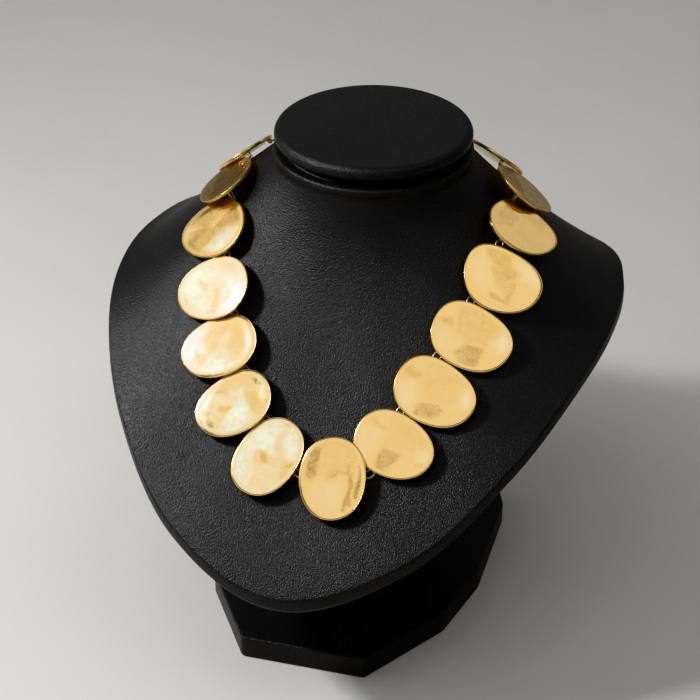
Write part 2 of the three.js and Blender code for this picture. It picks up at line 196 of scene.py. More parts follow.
class Nodes:
    """A node tree. add() makes a node: a socket among its inputs is linked, a value is set."""

    def __init__(self, tree):
        self.tree = tree

    def add(self, kind, inputs=None, output=0, **settings):
        node = self.tree.nodes.new("ShaderNode" + kind)
        for key, value in settings.items():
            setattr(node, key, value)
        for key, value in (inputs or {}).items():
            if isinstance(value, bpy.types.NodeSocket):
                self.tree.links.new(value, node.inputs[key])
            else:
                node.inputs[key].default_value = value
        return node.outputs[output]

    def calc(self, operation, a, b, clamp=False):
        return self.add("Math", {0: a, 1: b}, operation=operation, use_clamp=clamp)

    def mix(self, share, first, second):
        inputs = {MIX_SHARE: share, MIX_FIRST: first, MIX_SECOND: second}
        return self.add("Mix", inputs, MIX_RESULT, data_type="RGBA")

    def fit(self, value, low, high, to_low=0.0, to_high=1.0, shape="LINEAR"):
        inputs = {"Value": value, "From Min": low, "From Max": high}
        inputs.update({"To Min": to_low, "To Max": to_high})
        return self.add("MapRange", inputs, interpolation_type=shape)

    def noise(self, coords, scale, detail, rough, stretch=(1, 1, 1)):
        mapped = self.add("Mapping", {"Vector": coords, "Scale": stretch})
        inputs = {"Vector": mapped, "Scale": scale, "Detail": detail, "Roughness": rough}
        return self.add("TexNoise", inputs)

    def bump(self, height, distance, strength, normal=None):
        inputs = {"Height": height, "Distance": distance, "Strength": strength}
        if normal is not None:
            inputs["Normal"] = normal
        return self.add("Bump", inputs)


class Shader(Nodes):
    def __init__(self, name):
        self.material = bpy.data.materials.new(name)
        self.material.use_nodes = True
        super().__init__(self.material.node_tree)
        self.tree.nodes.clear()

    def finish(self, **sockets):
        """The material, once its Principled shader has the values or sockets given by name."""
        inputs = {key.replace("_", " "): value for key, value in sockets.items()}
        surface = self.add("BsdfPrincipled", inputs)
        out = self.tree.nodes.new("ShaderNodeOutputMaterial")
        self.tree.links.new(surface, out.inputs["Surface"])
        return self.material


GOLD_WARM = (0.93, 0.65, 0.27, 1)
GOLD_DEEP = (0.9, 0.61, 0.235, 1)
GOLD_SCRATCHED = (0.97, 0.7, 0.32, 1)
# Pale gold where the tone runs below 0: partly rubbed metal, partly a painted highlight.
GOLD_RUBBED_AND_HIGHLIGHT = (0.98, 0.96, 0.74, 1)
GOLD_TARNISHED = (0.3, 0.175, 0.05, 1)
WIRE_BRIGHT = (1.0, 0.82, 0.5, 1)
WIRE_WORN = (0.85, 0.63, 0.32, 1)
LEATHER_DARK = (0.02, 0.02, 0.0205, 1)
LEATHER_WORN = (0.028, 0.028, 0.0285, 1)
LEATHER_PORE = (0.009, 0.009, 0.0095, 1)
LEATHER_IOR = 1.5
LEATHER_GLOSS = 0.44
SCRATCH_STRETCH = (1.6, 0.16, 1)
WARP_REACH = (0.0006, 0.0006, 0.0006)


def disc_gold():
    """Polished gold, with its patterns in millimetres to the right and up on each face.

    Its tone darkens it as patina towards 1 and pales it towards -1, partly rubbed gold and partly a
    painted highlight, and haze makes it rougher.
    """
    s = Shader("disc_gold")
    coords = s.add("Attribute", output="Vector", attribute_name="face_at")
    patina_and_highlight = s.add("Attribute", output="Fac", attribute_name="patina_and_highlight")
    haze = s.add("Attribute", output="Fac", attribute_name="haze")
    mottle = s.noise(coords, 0.3, 5, 0.65)
    cloud = s.noise(coords, 0.09, 3, 0.5)
    scratch = s.noise(coords, 1.0, 4, 0.6, stretch=SCRATCH_STRETCH)
    grain = s.noise(coords, 3.5, 3, 0.6)
    uneven = s.fit(mottle, 0.3, 0.62, 0.6, 1.2)
    dark = s.calc("MULTIPLY", s.calc("MAXIMUM", patina_and_highlight, 0.0), uneven)
    specks = s.fit(s.noise(coords, 1.0, 4, 0.6), 0.42, 0.72, -0.07, 0.13)
    worn = s.fit(dark, 0.0, 0.4, 0.1, 1.3)
    dark = s.calc("ADD", dark, s.calc("MULTIPLY", specks, worn), True)
    # Mask of the pale gold: partly rubbed metal, partly a painted highlight.
    pale_rub_and_highlight = s.calc("MAXIMUM", s.calc("MULTIPLY", patina_and_highlight, -1.0), 0.0)
    pale_rub_and_highlight = s.calc("MULTIPLY", pale_rub_and_highlight, uneven, True)
    gold = s.mix(s.fit(cloud, 0.35, 0.65), GOLD_WARM, GOLD_DEEP)
    gold = s.mix(s.fit(scratch, 0.55, 0.8, 0, 0.25), gold, GOLD_SCRATCHED)
    gold = s.mix(pale_rub_and_highlight, gold, GOLD_RUBBED_AND_HIGHLIGHT)
    colour = s.mix(dark, gold, GOLD_TARNISHED)
    rough = s.fit(mottle, 0.3, 0.7, 0.1, 0.14)
    rough = s.calc("ADD", rough, s.fit(scratch, 0.3, 0.7, -0.015, 0.025))
    rough = s.calc("ADD", rough, s.calc("MULTIPLY", haze, uneven))
    normal = s.bump(mottle, 0.0001, 0.3)
    normal = s.bump(scratch, 0.000006, 0.5, normal)
    normal = s.bump(grain, 0.000005, 0.5, normal)
    return s.finish(Base_Color=colour, Metallic=1.0, Roughness=rough, Normal=normal)


def link_gold():
    """Drawn wire of the rings, the chain and the clasp, a little worn."""
    s = Shader("link_gold")
    coords = s.add("TexCoord", output="Object")
    wear = s.noise(coords, 900, 3, 0.6)
    marks = s.noise(coords, 3200, 2, 0.5)
    colour = s.mix(s.fit(wear, 0.4, 0.7), WIRE_BRIGHT, WIRE_WORN)
    rough = s.fit(wear, 0.3, 0.7, 0.22, 0.4)
    normal = s.bump(marks, 0.00001, 0.5)
    return s.finish(Base_Color=colour, Metallic=1.0, Roughness=rough, Normal=normal)


def leatherette():
    """Black leatherette with a pebble grain about half a millimetre across."""
    s = Shader("leatherette")
    coords = s.add("TexCoord", output="Object")
    warp = s.add("TexNoise", {"Vector": coords, "Scale": 500, "Detail": 2}, "Color")
    warp = s.add("VectorMath", {0: warp, 1: WARP_REACH}, operation="MULTIPLY")
    warped = s.add("VectorMath", {0: coords, 1: warp}, operation="ADD")
    cells = s.add("TexVoronoi", {"Vector": warped, "Scale": 1950}, feature="SMOOTH_F1")
    fine = s.noise(coords, 2600, 3, 0.6)
    hand = s.noise(coords, 60, 3, 0.55)
    colour = s.mix(s.fit(hand, 0.3, 0.7), LEATHER_DARK, LEATHER_WORN)
    colour = s.mix(s.fit(cells, 0.1, 0.6, 0.0, 0.6), colour, LEATHER_PORE)
    rough = s.fit(hand, 0.3, 0.7, 0.35, 0.41)
    rough = s.calc("ADD", rough, s.fit(cells, 0.1, 0.6, -0.04, 0.08))
    pebble = s.calc("SUBTRACT", s.calc("MULTIPLY", fine, 0.35), cells)
    normal = s.bump(hand, 0.0006, 0.25)
    normal = s.bump(pebble, 0.0005, 0.5, normal)
    return s.finish(
        Base_Color=colour, Roughness=rough, Normal=normal, IOR=LEATHER_IOR,
        Specular_IOR_Level=LEATHER_GLOSS,
    )


DISC_GOLD = disc_gold()
LINK_GOLD = link_gold()
LEATHERETTE = leatherette()

# ---------------------------------------------------------------- bust

# The cape's section at the front, at the sides and at the back: the share of its height that it
# falls and how far it spreads near the neck, and its slope at the edge in degrees. FLARE_LEAD is
# how far that slope reaches in from the edge, as a share of the cape's width.
FLARE_FALL = (0.36, 0.49, 0.5)
FLARE_SPREAD = (2.5, 32, 3)
FLARE_SLOPE = (44, 23, 60)
FLARE_LEAD = 0.22
BISECTIONS = 40


def edge_value(values, degrees):
    """Smooth curve through values at equal steps, mirrored at the front and at the back."""
    last = len(values) - 1
    at = np.minimum(np.abs(degrees) / EDGE_STEP, last)
    index = np.minimum(np.floor(at).astype(int), last - 1)
    t = at - index
    p0, p1, p2, p3 = [values[last - np.abs(last - np.abs(index + i))] for i in (-1, 0, 1, 2)]
    cubic = 2 * p0 - 5 * p1 + 4 * p2 - p3 + t * (3 * (p1 - p2) + p3 - p0)
    return p1 + 0.5 * t * (p2 - p0 + t * cubic)


def flare_section(degrees, t):
    """Radius and height of the cape at angles round the neck, from t 0 at the neck to 1."""
    angle = np.radians(degrees)
    radius = edge_value(EDGE_RADIUS, degrees)
    height = edge_value(EDGE_HEIGHT, degrees)
    front = np.maximum(np.cos(angle), 0) ** 2
    back = np.maximum(-np.cos(angle), 0) ** 2
    facing = (front, np.sin(angle) ** 2, back)
    fall = sum(a * b for a, b in zip(FLARE_FALL, facing)) * (FLARE_TOP - height)
    spread = sum(a * b for a, b in zip(FLARE_SPREAD, facing))
    slope = np.radians(sum(a * b for a, b in zip(FLARE_SLOPE, facing)))
    lead = FLARE_LEAD * (radius - NECK_RADIUS)
    radii = [NECK_RADIUS + 0 * radius, NECK_RADIUS + spread, radius - np.cos(slope) * lead, radius]
    heights = [FLARE_TOP + 0 * radius, FLARE_TOP - fall, height + np.sin(slope) * lead, height]
    shares = [(1 - t) ** 3, 3 * t * (1 - t) ** 2, 3 * t * t * (1 - t), t**3]
    return sum(s * r for s, r in zip(shares, radii)), sum(s * h for s, h in zip(shares, heights))


def round_neck(degrees, radius, z):
    """Points round the neck's axis, from the front counterclockwise seen from above."""
    angle = np.radians(degrees)
    x, y = radius * np.sin(angle), -radius * np.cos(angle)
    return np.stack([x, y, np.broadcast_to(z, np.shape(x))], -1)


def cape_radius(degrees, z):
    """The cape's radius where its surface has the height z."""
    low, high = 0.0, 1.0
    for _ in range(BISECTIONS):
        t = (low + high) / 2
        radius, height = flare_section(np.array([degrees]), t)
        low, high = (t, high) if height[0] > z else (low, t)
    return radius[0]


BUST_SIDES = 360
UNDER_STEPS = 16
FLARE_STEPS = 90
# Rows of how far out from the cape's edge, and how far down.
EDGE_PROFILE = [
    (0.1, 0.15), (0.24, 0.5), (0.34, 1.0), (0.38, 1.7), (0.4, 2.5), (0.4, 4.2),
    (0.34, 5.1), (0.1, 5.9), (-0.35, 6.5), (-1.0, 6.9), (-1.5, 7.0),
]
# Rows of radius and height, over the neck's rounded top to the boss that carries the cap.
NECK_PROFILE = [
    (42.1, 190.2), (42.3, 191.0), (42.45, 191.8), (42.5, 192.5), (42.4, 193.1), (42.1, 193.6),
    (41.6, 193.9), (41.0, 194.0), (39.8, 194.0), (38.3, 194.0), (38.0, 194.1), (38.0, 196.4),
]
# Rows of how much larger than the oval, and height.
PEDESTAL_PROFILE = [
    (5.6, 10.8), (6.0, 11.0), (5.6, 12.0), (4.7, 13.2), (3.4, 15.0), (2.1, 17.2), (1.0, 19.6),
    (0.3, 22.0), (0.0, 25.0), (0.0, 37.0), (0.0, 50.0),
]


def bust_body():
    """The oval pedestal, the cape's underside, edge and flare, and the neck, in one skin."""
    degrees = 360 * np.arange(BUST_SIDES) / BUST_SIDES
    degrees = np.where(degrees > 180, degrees - 360, degrees)
    angle = np.radians(degrees)
    rings = []
    for grow, z in PEDESTAL_PROFILE:
        x = (PEDESTAL["half_width"] + grow) * np.sin(angle)
        y = PEDESTAL["centre_y"] - (PEDESTAL["half_depth"] + grow) * np.cos(angle)
        rings.append(np.stack([x, y, z + 0 * x], -1))
    top = rings[-1]
    radius, height = flare_section(degrees, 1.0)
    wall = [round_neck(degrees, radius + out, height - down) for out, down in EDGE_PROFILE]
    for share in np.linspace(0, 1, UNDER_STEPS)[1:-1]:
        rings.append(top * (1 - share) + wall[-1] * share)
    rings += wall[::-1]
    for t in np.linspace(1, 0, FLARE_STEPS):
        rings.append(round_neck(degrees, *flare_section(degrees, t)))
    rings += [round_neck(degrees, radius + 0 * degrees, z) for radius, z in NECK_PROFILE]
    return skin(rings)


CAP_SIDES = 180
CAP_EDGE_STEPS = 25
CAP_CROWN_RINGS = 24
CAP_INNERMOST = 2
CAP_UNDERSIDE_RADII = (4.0, 20.0, 34.0)


def neck_cap():
    """The padded cap: a flat underside, a fully rounded edge and a slight crown."""
    radius, bottom, edge, crown = CAP.values()
    angles = turns(CAP_SIDES)
    profile = [(r, bottom) for r in CAP_UNDERSIDE_RADII]
    for up in np.radians(np.linspace(-90, 90, CAP_EDGE_STEPS)):
        profile.append((radius - edge + edge * math.cos(up), bottom + edge + edge * math.sin(up)))
    for r in np.linspace(radius - edge, CAP_INNERMOST, CAP_CROWN_RINGS)[1:]:
        share = r / (radius - edge)
        profile.append((r, bottom + 2 * edge + crown * (1 - share**2)))
    rings = [
        np.stack([r * np.sin(angles), -r * np.cos(angles), z + 0 * angles], -1) for r, z in profile
    ]
    return skin(rings)


BASE_CORNER_STEPS = 6
BASE_SIDE_STEPS = 10
BASE_LOW_STEPS = 7
BASE_HIGH_STEPS = 9
BASE_TOP_RINGS = (0.96, 0.8, 0.5, 0.2)


def base_outline():
    """The outline with small rounded corners, and the outward direction at each of its points."""
    corners = np.array(BASE_HALF + [(-x, y) for x, y in reversed(BASE_HALF)], float)
    corner = BASE["corner"]
    points = []
    for i, here in enumerate(corners):
        following = corners[(i + 1) % len(corners)]
        before = here + corner * unit(corners[i - 1] - here)
        after = here + corner * unit(following - here)
        for t in np.linspace(0, 1, BASE_CORNER_STEPS):
            points.append((1 - t) ** 2 * before + 2 * t * (1 - t) * here + t * t * after)
        far = following + corner * unit(here - following)
        for t in np.linspace(0, 1, BASE_SIDE_STEPS)[1:-1]:
            points.append(after * (1 - t) + far * t)
    points = np.array(points)
    run = np.roll(points, -1, 0) - np.roll(points, 1, 0)
    out = np.stack([run[:, 1], -run[:, 0]], -1)
    return points, out / np.linalg.norm(out, axis=1)[:, None]


def base_block():
    """The flat base with a rounded arris at its foot and at its top."""
    points, out = base_outline()
    top, arris = BASE["top"], BASE["arris"]
    profile = []
    for up in np.radians(np.linspace(-90, 0, BASE_LOW_STEPS)):
        profile.append((arris * (1 - math.cos(up)), arris * (1 + math.sin(up))))
    for up in np.radians(np.linspace(0, 90, BASE_HIGH_STEPS)):
        profile.append((arris * (1 - math.cos(up)), top - arris * (1 - math.sin(up))))
    rings = []
    for inset, z in profile:
        level = points - out * inset
        rings.append(np.column_stack([level, np.full(len(level), z)]))
    rim = rings[-1]
    middle = rim.mean(0)
    for share in BASE_TOP_RINGS:
        rings.append(middle + (rim - middle) * share)
    return skin(rings)


add_piece("bust_body_covered", bust_body(), LEATHERETTE, ["bust_body"])
add_piece("neck_cap_padded", neck_cap(), LEATHERETTE, ["neck_cap"])
add_piece("base_block_covered", base_block(), LEATHERETTE, ["base_block"])

# ---------------------------------------------------------------- seats, links and loops


def axes_of(row):
    """A disc's centre, the direction that its face looks, and its long and short axes."""
    face, rise, turn = [math.radians(row[key]) for key in ("face", "rise", "turn")]
    out = vec(math.cos(rise) * math.sin(face), -math.cos(rise) * math.cos(face), math.sin(rise))
    level = unit(np.cross([0, 0, 1], out))
    climb = np.cross(out, level)
    along = math.cos(turn) * level + math.sin(turn) * climb
    seat = {"centre": vec(row["x"], row["y"], row["z"]), "out": out, "along": along}
    seat["across"] = np.cross(out, along)
    return seat


def link_between(first, second, inward):
    """Where the jump ring between two discs starts and ends, behind both plates."""
    way = unit(second["centre"] - first["centre"])
    normal = first["out"] + second["out"]
    normal = unit(normal - way * normal.dot(way))
    neckward = np.cross(normal, way)
    middle = (first["centre"] + second["centre"]) / 2 + neckward * inward
    ends = []
    for side in (-1, 1):
        point = middle + way * side * RING["reach"]
        depth = min((seat["centre"] - point).dot(seat["out"]) for seat in (first, second))
        ends.append(point + normal * (depth - LOOP["depth"]))
    return {"start": ends[0], "end": ends[1], "neckward": neckward}


def link_to_chain(seat, nape):
    """Where the last jump ring on one side starts at its disc and ends towards the chain."""
    way = nape - seat["centre"]
    way = unit(way - seat["out"] * way.dot(seat["out"]))
    neckward = np.cross(seat["out"], way)
    neckward *= np.sign(neckward[2])
    start = seat["centre"] + way * END_LOOP["along"] + neckward * END_LOOP["inward"]
    start = start - seat["out"] * LOOP["depth"]
    onward = unit(nape - start)
    neckward = unit(neckward - onward * neckward.dot(onward))
    end = start + onward * 2 * RING["reach"]
    return {"start": start, "end": end, "neckward": neckward}


LOOP_STEPS = 36
LOOP_FOOT_FROM = 0.3


def wire_loop(centre, axis, up, stretch=0.0):
    """A round wire loop. Its foot, on the side that up points to, is longer by stretch."""
    up = unit(up - axis * up.dot(axis))
    side = np.cross(up, axis)
    points, spokes = [], []
    for angle in turns(LOOP_STEPS):
        spoke = math.cos(angle) * side + math.sin(angle) * up
        longer = stretch * up if math.sin(angle) > LOOP_FOOT_FROM else 0
        points.append(centre + (LOOP["radius"] * spoke + longer))
        spokes.append(spoke)
    return tube(points, spokes, [axis] * LOOP_STEPS, LOOP["wire"])


# ---------------------------------------------------------------- discs

PLATE_SIDES = 160
BACK_INSET = 1.2
BACK_HEIGHT = -0.74
BACK_RINGS = (0.12, 0.5, 0.85)
FACE_INSET = 1.7
FACE_HEIGHT = 0.78

# Section of a plate as rows of how far in from the outline and how high, from the back's edge over
# the rim and the groove inside it to the shoulder of the face.
PLATE_SECTION = [
    (BACK_INSET, BACK_HEIGHT), (0.5, BACK_HEIGHT), (0.22, -0.66), (0.06, -0.5), (0, -0.3),
    (0, 0.0), (0, 0.3), (0.02, 0.44), (0.07, 0.56), (0.14, 0.64), (0.22, 0.685), (0.3, 0.695),
    (0.37, 0.66), (0.45, 0.66), (0.53, 0.7), (0.7, 0.722), (0.95, 0.745), (1.3, 0.765),
    (FACE_INSET, FACE_HEIGHT),
]
GROOVE_ROWS = (12, 13)
FACE_RINGS = 40
INNERMOST_RING = 0.02

# Tone of the faces, from 1 for dark patina to -1 for pale: a disc's overall one, then patches
# laid over it one by one. The pale, strongest on left_1 to left_4, is partly rubbed gold and partly
# a painted highlight. A patch has its strength and its corners, which are to the disc's right
# and up its face, in shares of its half size. HAZE is added to the roughness of dulled discs.
OVERALL = {
    "left_7": 0.3, "left_6": 0.4, "left_5": 0.15, "left_4": -0.5, "left_3": -0.28, "left_2": -0.4,
    "left_1": -0.6, "centre": 0.0, "right_1": 0.0, "right_2": 0.0, "right_3": 0.0, "right_4": 0.05,
    "right_5": 0.08, "right_6": 0.25, "right_7": 0.5,
}
HAZE = {"left_7": 0.14, "left_6": 0.16, "left_5": 0.12, "right_6": 0.16, "right_7": 0.16}
PATCHES = {
    "left_7": [(0.3, [(-0.8, 0.2), (0.6, 0.1), (0.5, -0.7), (-0.5, -0.7)])],
    "left_6": [
        (0.75, [(-0.9, 0.9), (0.9, 0.9), (0.9, -0.2), (-0.9, -0.5)]),
        (0.35, [(-0.6, -0.4), (0.1, -0.3), (0.2, -0.9), (-0.6, -0.9)]),
    ],
    "left_5": [
        (0.42, [(-0.7, 0.2), (-0.2, 1), (0.85, 1), (0.5, 0.35), (0, 0.1)]),
        (0.35, [(-0.7, 0.2), (0, 0.15), (0.3, -0.1), (0.2, -0.9), (-0.4, -0.8), (-0.65, -0.1)]),
        (-0.8, [(0.5, 0.4), (0.9, 0.5), (0.85, -0.4), (0.35, -0.5)]),
        (-0.35, [(-0.7, -0.3), (-0.45, -0.3), (-0.5, -0.85), (-0.75, -0.7)]),
        (0.3, [(-0.5, 0.6), (-0.4, 0.62), (-0.2, 0.0), (-0.3, -0.02)]),
    ],
    "left_4": [
        (-0.2, [(-0.24, 0.95), (0.7, 0.9), (0.65, 0.6), (-0.1, 0.35)]),
        (-0.9, [(-0.9, 0.3), (-0.2, 0.35), (-0.35, -0.6), (-0.8, -0.45)]),
        (-0.85, [(0.15, 0.45), (0.8, 0.6), (0.9, -0.1), (0.5, -0.4), (0.35, 0.1)]),
        (0.05, [(0.1, 0.12), (0.28, 0.1), (0.58, -0.6), (0.3, -0.65)]),
        (-0.05, [(-0.5, 0.0), (-0.2, 0.02), (-0.15, -0.2), (-0.45, -0.15)]),
        (-0.75, [(-0.1, -0.3), (0.2, -0.5), (0.1, -0.9), (-0.3, -0.85)]),
    ],
    "left_3": [
        (-0.05, [(-0.95, -0.35), (0.35, 0.07), (0.95, 0.2), (0.7, 1), (-0.6, 0.9)]),
        (-0.15, [(0.43, 0.1), (0.9, 0.12), (0.82, -0.3), (0.4, -0.25)]),
        (0.2, [(-0.84, -0.22), (-0.5, -0.2), (-0.5, -0.4), (-0.84, -0.46)]),
        (-0.95, [(-0.1, -0.2), (0.45, -0.25), (0.4, -0.7), (-0.2, -0.9)]),
        (0.15, [(0.4, 0.56), (0.72, 0.64), (0.74, 0.52), (0.42, 0.44)]),
    ],
    "left_2": [
        (-0.1, [(-0.65, 0.1), (0.19, 0.38), (0.6, 0.5), (0.4, 1), (-0.4, 0.8)]),
        (-0.02, [(0.19, 0.38), (0.55, 0.48), (1, 0.35), (0.94, -0.2), (0.47, -0.13)]),
        (-0.25, [(-0.37, -0.12), (-0.02, -0.12), (-0.12, -0.95), (-0.55, -0.7)]),
        (-1.0, [(0.17, 0.34), (0.45, -0.13), (0.45, -0.6), (-0.1, -0.85), (0, -0.3), (-0.1, 0.2)]),
        (-0.9, [(-0.95, -0.3), (-0.7, -0.3), (-0.6, -0.75), (-0.85, -0.65)]),
        (0.2, [(-0.38, -0.1), (-0.03, -0.08), (-0.05, -0.22), (-0.36, -0.26)]),
        (0.1, [(-0.68, -0.36), (-0.5, -0.36), (-0.52, -0.5), (-0.68, -0.48)]),
    ],
    "left_1": [
        (-0.3, [(0.18, 0.7), (0.42, 0.7), (0.46, -0.23), (0.18, -0.23)]),
        (-0.05, [(0.42, 0.12), (0.9, 0.05), (0.8, -0.5), (0.45, -0.55)]),
        (-0.35, [(-0.35, -0.2), (0.5, -0.25), (0.45, -0.8), (-0.3, -0.9)]),
        (0.4, [(0.14, 0.95), (0.34, 0.93), (0.38, 0.76), (0.2, 0.76)]),
        (-0.95, [(-0.6, 0.65), (0.14, 0.65), (0.14, 0.02), (-0.5, 0.0)]),
        (-0.95, [(-1, 0.25), (-0.72, 0.25), (-0.65, -0.6), (-0.9, -0.6)]),
        (-0.9, [(0.47, 0.72), (0.85, 0.45), (0.8, 0.12), (0.5, 0.2)]),
        (-0.2, [(-0.35, 0.05), (0.25, 0.05), (0.3, -0.15), (-0.4, -0.22)]),
        (0.35, [(-0.2, 0.0), (-0.02, 0.02), (0.05, -0.1), (-0.15, -0.14)]),
        (0.4, [(0.55, -0.02), (0.78, -0.05), (0.75, -0.18), (0.55, -0.16)]),
    ],
    "centre": [
        (0.16, [(-0.6, 1), (0.7, 1), (0.6, 0.1), (-0.5, 0.05)]),
        (0.6, [(-0.85, 0.62), (-0.47, 0.62), (-0.42, -0.15), (-0.75, -0.18)]),
        (0.36, [(-0.2, 0.1), (0.37, 0.17), (0.37, 0.07), (-0.2, -0.02)]),
        (0.5, [(0.33, 0.36), (0.44, 0.36), (0.62, -0.1), (0.48, -0.1)]),
        (0.5, [(0.48, -0.02), (0.68, -0.02), (0.62, -0.8), (0.46, -0.75)]),
        (0.6, [(0.72, 0.42), (0.95, 0.35), (0.95, -0.4), (0.78, -0.35)]),
        (0.7, [(0.63, -0.42), (0.74, -0.42), (0.74, -0.5), (0.64, -0.5)]),
        (-0.12, [(-0.5, -0.1), (0.35, -0.1), (0.4, -0.85), (-0.4, -0.85)]),
    ],
    "right_1": [
        (0.12, [(-0.28, 0.95), (0.4, 0.9), (0.8, 0.3), (0.5, -0.12), (-0.26, -0.15)]),
        (0.42, [(-0.21, -0.16), (0.24, -0.29), (0.24, -0.41), (-0.21, -0.83), (-0.3, -0.63)]),
        (0.3, [(0.68, -0.38), (0.81, -0.36), (0.8, -0.5), (0.68, -0.5)]),
        (0.22, [(-0.76, 0.7), (-0.6, 0.82), (-0.28, 0.47), (-0.38, 0.32)]),
        (-0.35, [(0.6, -0.02), (0.95, 0.0), (0.9, -0.4), (0.7, -0.35)]),
        (-0.15, [(-0.9, 0.45), (-0.4, 0.3), (-0.35, -0.3), (-0.6, -0.7), (-0.9, -0.4)]),
    ],
    "right_2": [
        (0.13, [(-0.28, 0.7), (0.3, 0.9), (0.85, 0.2), (0.3, -0.25), (-0.26, -0.2)]),
        (0.42, [
            (-0.27, -0.25), (0.24, -0.34), (0.27, -0.46), (0.01, -0.74), (-0.27, -0.81),
            (-0.45, -0.6),
        ]),
        (0.26, [(-0.8, 0.6), (-0.62, 0.72), (-0.31, 0.44), (-0.4, 0.28)]),
        (0.25, [(-0.15, 0.95), (0.02, 0.95), (0, 0.75), (-0.13, 0.75)]),
        (0.3, [(0.68, -0.42), (0.8, -0.42), (0.8, -0.56), (0.7, -0.56)]),
        (-0.4, [(0.6, 0.05), (0.95, 0.02), (0.85, -0.35), (0.65, -0.38)]),
        (-0.2, [(-0.92, 0.4), (-0.42, 0.25), (-0.35, -0.2), (-0.6, -0.6), (-0.9, -0.4)]),
    ],
    "right_3": [
        (0.16, [(-0.22, 0.9), (0.15, 0.9), (0.8, 0.25), (0.3, -0.3), (-0.32, -0.2)]),
        (0.42, [
            (-0.3, -0.22), (0.25, -0.36), (0.24, -0.42), (0.02, -0.82), (-0.24, -0.76),
            (-0.55, -0.27),
        ]),
        (0.26, [(-0.78, 0.63), (-0.41, 0.62), (-0.33, 0.36), (-0.67, 0.46)]),
        (-0.4, [(0.5, -0.12), (0.7, 0.12), (0.9, 0.0), (0.85, -0.35), (0.65, -0.4)]),
        (-0.12, [(-0.92, 0.35), (-0.4, 0.25), (-0.35, -0.2), (-0.9, -0.3)]),
    ],
    "right_4": [
        (0.3, [(-0.2, 1), (0.35, 0.8), (0.5, 0.05), (-0.2, -0.05)]),
        (0.42, [(-0.55, -0.18), (-0.46, -0.2), (0, -0.54), (-0.03, -0.63), (-0.5, -0.33)]),
        (0.38, [(-0.03, -0.63), (-0.04, -0.5), (0.23, -0.03), (0.28, -0.13), (0.11, -0.49)]),
        (0.24, [(-0.2, -0.08), (0.24, -0.04), (0.02, -0.5)]),
        (-0.3, [(0.5, 0.3), (0.9, 0.1), (0.85, -0.35), (0.5, -0.1)]),
        (-0.12, [(-0.9, 0.5), (-0.25, 0.85), (-0.3, 0.0), (-0.7, -0.2)]),
    ],
    "right_5": [
        (0.25, [(-0.7, 0.68), (0.17, 0.75), (0.17, 0.25), (-0.3, 0.25)]),
        (0.22, [(0.25, 0.25), (0.8, 0.2), (0.9, -0.45), (0.4, -0.1)]),
    ],
    "right_6": [(0.55, [(-0.9, 0.9), (0.9, 0.9), (0.9, 0.1), (-0.9, 0.3)])],
    "right_7": [(0.3, [(-0.5, 0.5), (0.5, 0.6), (0.6, -0.5), (-0.5, -0.6)])],
}
# Half widths of the soft edge of a dark patch and of a pale one, the patina of a plate's back and
# of the groove inside its rim, and the tone of the rim as a share of the overall one, so that the
# pale rims of the left discs carry the painted highlight too.
PATCH_EDGE = 0.07
PALE_EDGE = 0.2
BACK_PATINA = 0.3
GROOVE_PATINA = 0.55
RIM_SHARE = 0.6

# Relief of the faces: how much the sides' discs buckle, how deep a patch lies, how far in from the
# edge the relief fades, its limits, and the face's slight crown.
BUCKLE = {"left": 1.0, "centre": 0.35, "right": 0.45}
PATCH_RELIEF = 0.06
RELIEF_FADE = 4.0
RELIEF_LIMITS = (-0.35, 0.3)
FACE_CROWN = 0.06

# Waves in the patches' edges: their rates, in radians across a half size, and their reach.
WANDER_RATES = (5, 9, 16, 30)
WANDER_REACH = 0.25
WANDER_SEED = 500

# Facets of a face: how many, the ranges of their headings, slopes and heights, and how softly
# they meet.
FACET_COUNT = 5
FACET_HEADINGS = (-0.35, 0.35)
FACET_SLOPES = (0.01, 0.05)
FACET_HEIGHTS = (0, 0.25)
FACET_SOFTNESS = 0.02

# Each disc has its own seed, and its own stretch of the material's patterns, a step apart.
FIRST_DISC_SEED = 40
PATTERN_STEP = 60
OUTLINE_SAMPLES = 90


def inside(corners, edge, u, w):
    """Soft mask of a convex patch, 1 inside it, by the least distance to its sides."""
    corners = np.array(corners, float)
    centre = corners.mean(0)
    nearest = np.full(np.shape(u), math.inf)
    for a, b in zip(corners, np.roll(corners, -1, 0)):
        normal = unit(vec(a[1] - b[1], b[0] - a[0]))
        normal *= np.sign((centre - a).dot(normal))
        nearest = np.minimum(nearest, (u - a[0]) * normal[0] + (w - a[1]) * normal[1])
    return smooth(-edge, edge, nearest)


def wander(u, w, seed):
    """Small smooth shifts that keep the patches' edges from being straight."""
    rng = np.random.default_rng(seed + WANDER_SEED)
    du, dw = 0, 0
    for rate in WANDER_RATES:
        a, b, c, d = rng.uniform(0, 2 * math.pi, 4)
        reach = WANDER_REACH / rate
        du = du + reach * np.sin(rate * (u * math.cos(a) + w * math.sin(a)) + b)
        dw = dw + reach * np.sin(rate * (u * math.cos(c) + w * math.sin(c)) + d)
    return u + du, w + dw


def planes(rng, x, y):
    """Soft lower envelope of a few gentle planes."""
    count = FACET_COUNT
    headings = (np.arange(count) + rng.uniform(*FACET_HEADINGS, count)) * 2 * math.pi / count
    slopes = rng.uniform(*FACET_SLOPES, count)
    heights = rng.uniform(*FACET_HEIGHTS, count)
    total = 0
    for heading, slope, height in zip(headings, slopes, heights):
        plane = height - slope * (x * math.cos(heading) + y * math.sin(heading))
        total = total + np.exp(-plane / FACET_SOFTNESS)
    return -FACET_SOFTNESS * np.log(total)


def facets(seed, x, y):
    """Height of a face made of nearly flat facets that meet in soft ridges and soft valleys."""
    rng = np.random.default_rng(seed)
    return planes(rng, x, y) - planes(rng, x, y)


